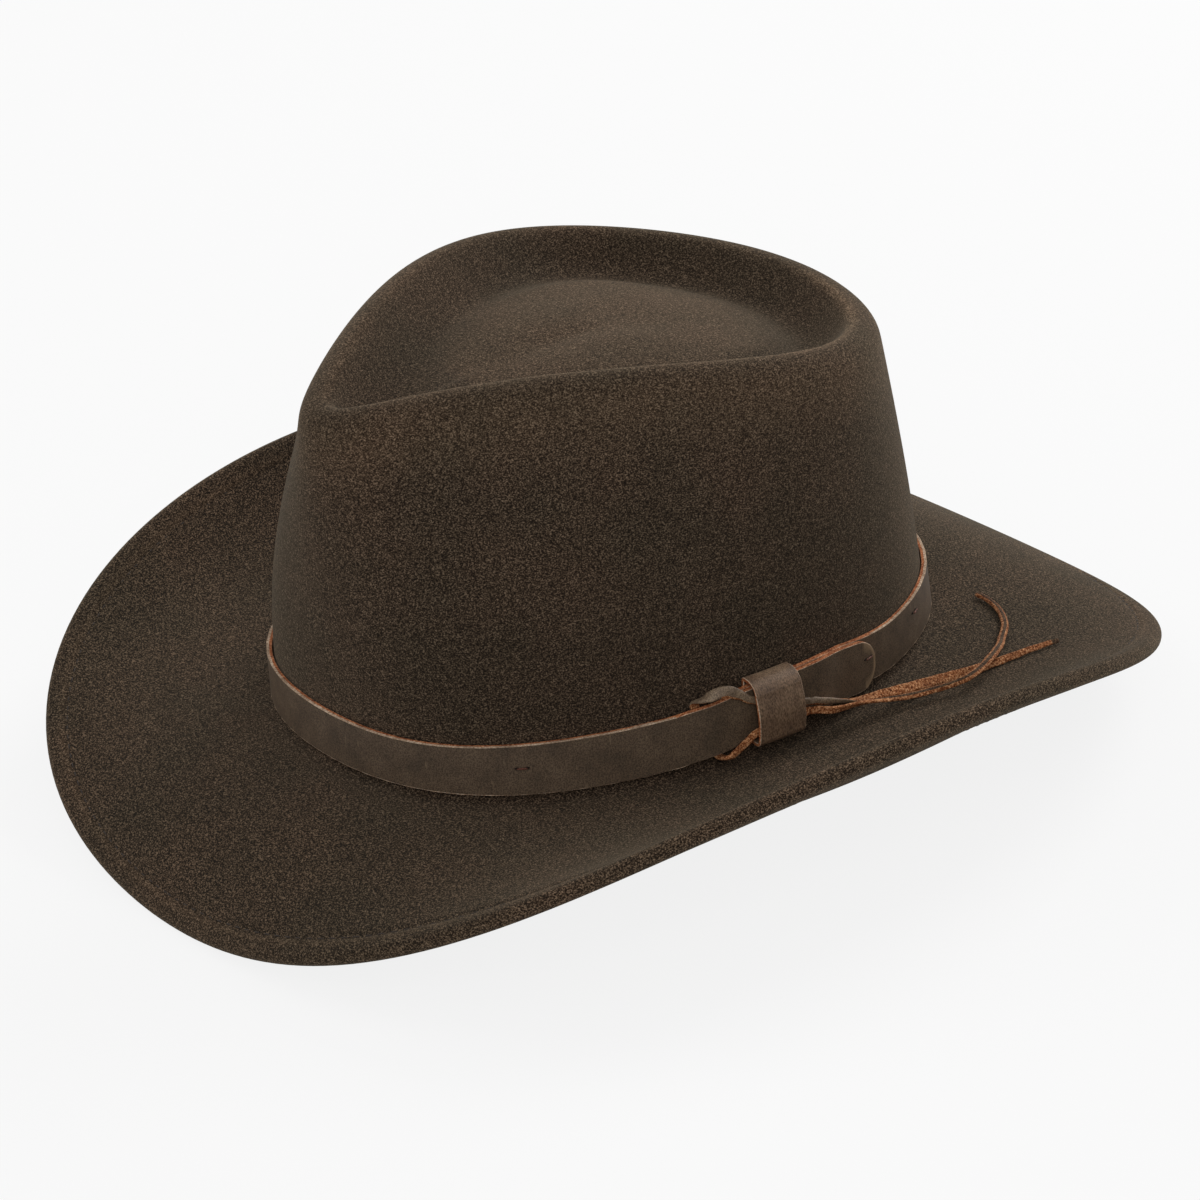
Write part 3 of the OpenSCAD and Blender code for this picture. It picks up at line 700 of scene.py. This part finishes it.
# How much paler the felt is painted: a rim highlight with some rubbing along the crest, and
# painted highlights on the ridge's wall, the crease's middle, the brim's turned edge and the
# lip by the stitched line.
CREST_RUB_AND_HIGHLIGHT, SHOULDER_HIGHLIGHT, MIDDLE_HIGHLIGHT, EDGE_HIGHLIGHT, LIP_HIGHLIGHT = 0.62, 0.24, 0.17, 0.12, 0.22


def seam_line(step, depth=0):
    """Places along the stitched line: point, direction along it, direction off it."""
    places = []
    t = 0.0
    while t < 360:
        up = brim_up(t, SEAM_S)
        p = brim(t, SEAM_S)
        along = (brim(t + 0.5, SEAM_S) - brim(t - 0.5, SEAM_S)).normalized()
        places.append((p - up * depth, along, up))
        t += step / (brim(t + 0.5, SEAM_S) - brim(t - 0.5, SEAM_S)).length
    return places


def tree_of(line):
    """A line of points in millimetres, ready to be searched from a place on a piece."""
    tree = KDTree(len(line))
    for k, p in enumerate(line):
        tree.insert(p * MM, k)
    tree.balance()
    return tree


def nearest_to(line):
    """Finds how far, in millimetres, a place on a piece is from a line of points."""
    tree = tree_of(line)
    return lambda place: tree.find(place)[2] / MM


def press_groove(piece, places, side):
    """Pulls the felt in along the stitched line, as the tight thread does."""
    tree = tree_of([p for p, _, _ in places])
    for vertex in piece.data.vertices:
        _, k, distance = tree.find(vertex.co)
        if distance > GROOVE_W * MM:
            continue
        up = places[k][2] * side
        if vertex.normal.dot(up) > 0.3:
            vertex.co -= up * GROOVE_D * MM * (1 - ease(distance / (GROOVE_W * MM)))


def fade(distance, reach):
    """How much of a painted highlight line's lightening is left at a distance from it."""
    return math.exp(-((distance / reach) ** 2))


def past_middle(p, middle_y):
    """How far out a point is from the crease's middle, squared: 1 is the ridge's oval."""
    return (p.x / RIDGE_B) ** 2 + ((p.y - middle_y) / RIDGE_A) ** 2


def mark_highlights_and_wear(piece):
    """Notes how much paler each point of the felt is painted: most along the ridge's crest,
    a rim highlight with some rubbing, strongest on the side that faces the camera, and
    painted highlights on the wall below it, on the raised middle of the crease, along the
    brim's edge and along the lip outside its stitched line."""
    crest, shoulder = [], []
    for t in range(360):
        ahead = ridge(t + 1) - ridge(t - 1)
        inward = Vector((-ahead.y, ahead.x, 0)).normalized()
        top = Vector((0, 0, ridge_z(t)))
        # The painted rim highlight, with some rubbing, lies a little inside the crest's highest
        # line.
        crest.append(ridge(t) + 0.7 * inward + top + Vector((0, 0, RIDGE_R - 0.6)))
        shoulder.append(ridge(t) - RIDGE_R * inward + top)
    from_crest, from_shoulder = nearest_to(crest), nearest_to(shoulder)
    from_lip = nearest_to([brim(t / 2, SEAM_S + 1.7) for t in range(720)])
    from_edge = nearest_to([
        brim(t / 2, BRIM_L - 0.5) - FOLD_R * brim_up(t / 2, BRIM_L - 0.5) for t in range(720)])
    highlight_and_wear = piece.data.attributes.new("highlight_and_wear", "FLOAT", "POINT")
    for vertex, rubbed in zip(piece.data.vertices, highlight_and_wear.data):
        p = vertex.co / MM
        if p.z > UPPER_CROWN:
            crest_d = from_crest(vertex.co)
            # The crest's painted rim highlight is strongest on the +X side, which faces the
            # camera.
            seen_side = 0.25 + 0.75 * ease(p.x / RIDGE_B / 0.4)
            value = CREST_RUB_AND_HIGHLIGHT * seen_side * fade(crest_d, 1.7)
            value += SHOULDER_HIGHLIGHT * fade(from_shoulder(vertex.co), 11)
            # Painted highlight on the crease's raised middle, which faces up to the lamps.
            if past_middle(p, CREASE_Y) < 0.45 and p.z > 85:
                value += MIDDLE_HIGHLIGHT * ease((crest_d - 18) / 14)
        else:
            # Painted highlights along the brim's turned edge and along the lip outside the
            # stitched line.
            value = EDGE_HIGHLIGHT * fade(from_edge(vertex.co), 3.2)
            value += LIP_HIGHLIGHT * fade(from_lip(vertex.co), 1.1)
        # How much paler this point is painted, mostly as highlight.
        rubbed.value = value


def mark_fibre_shade(piece):
    """Notes where the fibres are painted with stronger shade and highlight: on the brim, which
    the lamps light too flatly to shade its fibres, not on the brushed crown.
    """
    painted_fibre_shade = piece.data.attributes.new("painted_fibre_shade", "FLOAT", "POINT")
    for vertex, shade_share in zip(piece.data.vertices, painted_fibre_shade.data):
        p = vertex.co / MM
        past_foot = Vector((p.x, p.y)).length - foot(direction_of(vertex.co)).length
        shade_share.value = ease((past_foot - 2) / 6)


def calm_crease(piece):
    """Smooths the crease's middle, where the source's surface has a faint fold."""
    middle_y, reach = 6, 0.42
    calm = piece.vertex_groups.new(name="calm")
    for vertex in piece.data.vertices:
        p = vertex.co / MM
        away = past_middle(p, middle_y)
        if p.z > 80 and away < reach:
            calm.add([vertex.index], ease((reach - away) / 0.15), "REPLACE")
    pick(piece)
    smooth = piece.modifiers.new("calm", "SMOOTH")
    smooth.vertex_group = "calm"
    smooth.factor = 0.5
    smooth.iterations = 400
    bpy.ops.object.modifier_apply(modifier="calm")


def felt_shell():
    """Crown and brim, one blocked piece with its edge turned under and sewn."""
    piece = copy_of("felt_body", "felt_shell")
    smooth_out(piece, 2)
    calm_crease(piece)
    press_groove(piece, seam_line(1.5), 1)
    press_groove(piece, seam_line(1.5, UNDER), -1)
    mark_highlights_and_wear(piece)
    mark_fibre_shade(piece)
    finish_piece(piece, "hat", (felt,), ("felt_body",))


def stitch(length_mm):
    """One stitch lying along X, its ends thinner and dipping into the material."""
    thinned, dip = 0.45, 0.9
    bpy.ops.object.select_all(action="DESELECT")
    bpy.ops.mesh.primitive_cylinder_add(
        vertices=6, radius=THREAD_D / 2 * MM, depth=length_mm * MM,
        rotation=(0, math.pi / 2, 0))
    made = bpy.context.active_object
    bpy.ops.object.transform_apply(location=True, rotation=True, scale=True)
    bpy.ops.object.mode_set(mode="EDIT")
    for x in (-0.25, 0, 0.25):
        bpy.ops.mesh.select_all(action="SELECT")
        bpy.ops.mesh.bisect(plane_co=(x * length_mm * MM, 0, 0), plane_no=(1, 0, 0))
    bpy.ops.object.mode_set(mode="OBJECT")
    half = length_mm / 2 * MM
    for vertex in made.data.vertices:
        share = abs(vertex.co.x) / half
        vertex.co.y *= 1 - thinned * share**2
        vertex.co.z = vertex.co.z * (1 - thinned * share**2) - dip * THREAD_D * MM * share**3
    return made


def sew(name, line, length_mm, lift_mm, material):
    """Repeats one stitch along a line of places, as one piece."""
    places = [(point + up * lift_mm, along, up) for point, along, up in line]
    piece = repeated(name, stitch(length_mm), places)
    finish_piece(piece, "hat", (material,))


felt = wool_felt()
felt_thread = sewing_thread("brim_thread", "#1B1511", "#3A2F27")
felt_shell()
sew("brim_stitches_top", seam_line(STITCH_STEP), STITCH_L, -STITCH_SINK, felt_thread)
under_line = [(p, along, -up) for p, along, up in seam_line(STITCH_STEP, UNDER)]
sew("brim_stitches_under", under_line, STITCH_L, -STITCH_SINK, felt_thread)

# ---- leather band, keeper and tacks ----
FLAT, ROUNDED, SQUARE = 0.2, 0.5, 0.88  # how squarely to the leather a face is cut
TAB_HANG, HANG_FROM, HANG_RAMP = 1.3, BAND_START + 14, 12
HOLE_HALVES = (0.75, 0.2, 0.34)  # an awl hole's half sizes: along, out, up
band_grain = oiled_leather("band_oiled_leather", "#4E4031", "#63513F", "#776450")
keeper_grain = oiled_leather("keeper_oiled_leather", "#685241", "#886D56", "#A58B70", 2)
cut_edge = raw_leather("leather_cut_edge", "#743A20", "#C07248", "#F0AE7C")
# Burnished leather where an edge rounds over, its pale colours partly a painted edge highlight.
burnished_lit_rim = raw_leather("leather_burnished_lit_rim", "#A08068", "#D8BA9C", "#F6E2CA")


def cut_leather(piece, edge_mm):
    """Eases a cut strap's square edges and smooths it along its length."""
    ease_edges(piece, edge_mm, 3)
    bpy.ops.object.mode_set(mode="EDIT")
    bpy.ops.mesh.select_all(action="DESELECT")
    bpy.ops.mesh.edges_select_sharp(sharpness=math.radians(12))
    bpy.ops.object.mode_set(mode="OBJECT")
    creases = piece.data.attributes.new("crease_edge", "FLOAT", "EDGE")
    for edge, crease in zip(piece.data.edges, creases.data):
        a, b = (piece.data.vertices[k].co for k in edge.vertices)
        lengthwise = abs(a.z - b.z) < 0.7 * (a - b).length
        crease.value = 1 if edge.select and lengthwise else 0
    smooth_out(piece, 2)
    flat = piece.modifiers.new("flat", "WEIGHTED_NORMAL")
    flat.weight = 100
    bpy.ops.object.modifier_apply(modifier="flat")


def leather_faces(piece, across_of):
    """Gives each face its finish by how it lies to the leather: grain or flesh where it
    lies flat, a burnished rim painted paler still as an edge highlight where it rounds over,
    and the raw cut where it is square."""
    for face in piece.data.polygons:
        across = across_of(face)
        face.material_index = 0 if across < FLAT else 2 if across < SQUARE else 1


def hang_share(t):
    """How fully the tab's lower edge hangs past the strap's; it begins at the keeper."""
    return ease((t - HANG_FROM) / HANG_RAMP)


def lower_tab(piece):
    """Lets the tab's lower edge hang past the strap's, as it was cut a little wider."""
    for vertex in piece.data.vertices:
        p = vertex.co / MM
        t = direction_of(vertex.co)
        if HANG_FROM < t < TAB_END + 1:
            face = beside(t, stand_off(t) + BAND_T + 0.08, p.z)
            if (p - face).dot(outward(t)) > 0:
                below_mid = ease((band_mid(t) - p.z) / (BAND_H / 2))
                vertex.co.z -= TAB_HANG * MM * below_mid * hang_share(t)


def rub_and_highlight_tab(piece):
    """Notes the outline of the tab's rounded tip, painted paler: partly rubbed, partly a
    painted edge highlight.
    """
    tip_turn = BAND_H / 2 / (foot(TAB_END + 0.5) - foot(TAB_END - 0.5)).length
    outline = []
    for turn in range(-66, 67, 2):
        t = TAB_END - tip_turn * (1 - cos(turn))
        z = band_mid(t) + BAND_H / 2 * sin(turn)
        z -= TAB_HANG * ease(-sin(turn)) * hang_share(t)
        outline.append(beside(t, band_face(t, True), z))
    from_outline = nearest_to(outline)
    rim = piece.data.attributes.new("rim", "FLOAT", "POINT")
    for vertex, rubbed in zip(piece.data.vertices, rim.data):
        # Paler along the outline: partly rubbing, partly a painted edge highlight.
        rubbed.value = 0.5 * ease(1.5 - from_outline(vertex.co))


def band_across(face):
    """How squarely a face is cut; the strap's outer corner is rounded over all along."""
    t, p = direction_of(face.center), face.center / MM
    across = max(abs(face.normal.z), 1 - abs(face.normal.dot(outward(t))))
    depth = (beside(t, band_face(t), p.z) - p).dot(outward(t))
    single = not BAND_START - CLIMB_AHEAD - 1 < t < TAB_END
    return min(across, ROUNDED) if single and depth < 0.55 * BAND_T else across


def leather_band():
    """The strap around the crown, its outer end lapped over its start as a tab."""
    piece = copy_of("hat_band", "leather_band")
    cut_leather(piece, 0.42)
    lower_tab(piece)
    rub_and_highlight_tab(piece)
    finish_piece(
        piece, "hat", (band_grain, cut_edge, burnished_lit_rim), ("hat_band",))
    leather_faces(piece, band_across)


def keeper_loop():
    """The loop that holds the lace against the band, and slides along it."""
    piece = copy_of("band_keeper", "keeper_loop")
    cut_leather(piece, 0.3)
    finish_piece(
        piece, "keeper", (keeper_grain, cut_edge, burnished_lit_rim),
        ("band_keeper",))
    ahead = Vector((-outward(KEEPER_DIR).y, outward(KEEPER_DIR).x, 0))
    leather_faces(piece, lambda face: abs(face.normal.dot(ahead)))


def awl_hole():
    """One flattened dark oval that stands for a hole's shade. Its faces are put in order by
    their places, because a new sphere has them in another order each time."""
    bpy.ops.object.select_all(action="DESELECT")
    bpy.ops.mesh.primitive_uv_sphere_add(segments=12, ring_count=8, radius=MM)
    made = bpy.context.active_object
    made.scale = HOLE_HALVES
    bpy.ops.object.transform_apply(location=True, rotation=True, scale=True)
    shape = bmesh.new()
    shape.from_mesh(made.data)
    in_order = sorted(shape.faces, key=lambda face: face.calc_center_median()[:])
    rank = {face: k for k, face in enumerate(in_order)}
    shape.faces.sort(key=rank.get)
    shape.to_mesh(made.data)
    shape.free()
    return made


def awl_hole_shades():
    """Dark ovals, painted as the shade inside the holes that each tack's thread goes down into.
    """
    places = []
    for t, lift in zip(TACK_DIRS, TACK_LIFTS):
        ahead = foot(t + 0.5) - foot(t - 0.5)
        for end in (-1, 1):
            turned = t + end * (TACK_L / 2 - 0.1) / ahead.length
            p = beside(turned, band_face(t, BAND_START < t < TAB_END), band_mid(t) + lift)
            places.append((p, ahead.normalized(), Vector((0, 0, 1))))
    piece = repeated("awl_hole_shades", awl_hole(), places)
    # Painted shade: near-black colours for the inside of each hole.
    hole_shade = raw_leather("awl_hole_shade", "#0C0705", "#17100B", "#2C1E16")
    finish_piece(piece, "hat", (hole_shade,))


leather_band()
keeper_loop()
awl_hole_shades()
tack_thread = sewing_thread("tack_thread", "#2C1710", "#7C4A38")
tacks = copy_of("band_tacks", "tack_threads")
smooth_out(tacks, 1)
finish_piece(tacks, "hat", (tack_thread,), ("band_tacks",))

# ---- sweatband, reed and bow ----
sweat_leather = oiled_leather("sweatband_leather", "#3A281C", "#4E3727", "#5E4534")
sweatband = copy_of("sweatband", "sweatband_skin")
ease_edges(sweatband, 0.25)
smooth_out(sweatband, 1)
finish_piece(sweatband, "hat", (sweat_leather,), ("sweatband",))
reed = copy_of("sweatband_reed", "reed_cover")
smooth_out(reed, 1)
finish_piece(reed, "hat", (sweat_leather,), ("sweatband_reed",))


def sweatband_seam():
    """Places along the sweatband's seam: point, direction along it, direction off it."""
    places, t = [], 0.0
    while t < 360:
        p = beside(t, -FELT_T - CLEAR - SWEAT_T, 4.5)
        along = (foot(t + 0.5) - foot(t - 0.5)).normalized()
        places.append((p, along, -outward(t)))
        t += 3.6 / (foot(t + 0.5) - foot(t - 0.5)).length
    return places


sweat_thread = sewing_thread("sweatband_thread", "#2A1F18", "#54402F")
sew("sweatband_stitches", sweatband_seam(), 2.8, 0.05, sweat_thread)
bow = copy_of("sweatband_bow", "ribbon_bow")
ease_edges(bow, 0.3)
smooth_out(bow, 2)
finish_piece(bow, "hat", (grosgrain(),), ("sweatband_bow",))

# ---- wire: seen only where the fold opens ----
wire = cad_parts["brim_wire"]
wire.data.materials.clear()
wire.data.materials.append(spring_steel())

# ---- floor, light and background ----
bpy.ops.object.select_all(action="DESELECT")
bpy.ops.mesh.primitive_plane_add(size=6, location=(0, 0, cad_low.z - 0.0003))
floor = bpy.context.active_object
floor.name = "floor"
floor.data.materials.append(white_stage())


def lamp(name, place, watts):
    """A square softbox, 1 m across, that faces the hat's origin."""
    data = bpy.data.lights.new(name, "AREA")
    data.shape = "SQUARE"
    data.size = 1
    data.energy = watts
    made = bpy.data.objects.new(name, data)
    bpy.context.collection.objects.link(made)
    made.location = place
    made.rotation_euler = (-Vector(place)).to_track_quat("-Z", "Y").to_euler()


lamp("back_softbox", (-0.22, 1.54, 1.2), 17)
lamp("left_softbox", (-1.3, -0.65, 1.1), 5.4)
lamp("front_fill", (1.2, -0.9, 1.0), 6.4)

world = bpy.data.worlds.new("studio")
bpy.context.scene.world = world
world.use_nodes = True
sky = world.node_tree
sky.nodes.clear()
rays = add(sky, "ShaderNodeLightPath")
seen = rays.outputs["Is Camera Ray"]
for ray in ("Is Glossy Ray", "Is Transmission Ray"):
    total = add(sky, "ShaderNodeMath", {"operation": "MAXIMUM"}, {
        0: seen, 1: rays.outputs[ray]})
    seen = total.outputs[0]
level = add(sky, "ShaderNodeMapRange", {"To Min": 0.33, "To Max": 1.0}, {"Value": seen})
glow = add(sky, "ShaderNodeBackground", {"Color": (1, 1, 1, 1)}, {"Strength": level.outputs[0]})
add(sky, "ShaderNodeOutputWorld", links={"Surface": glow.outputs[0]})
bpy.context.scene.view_settings.view_transform = "Standard"
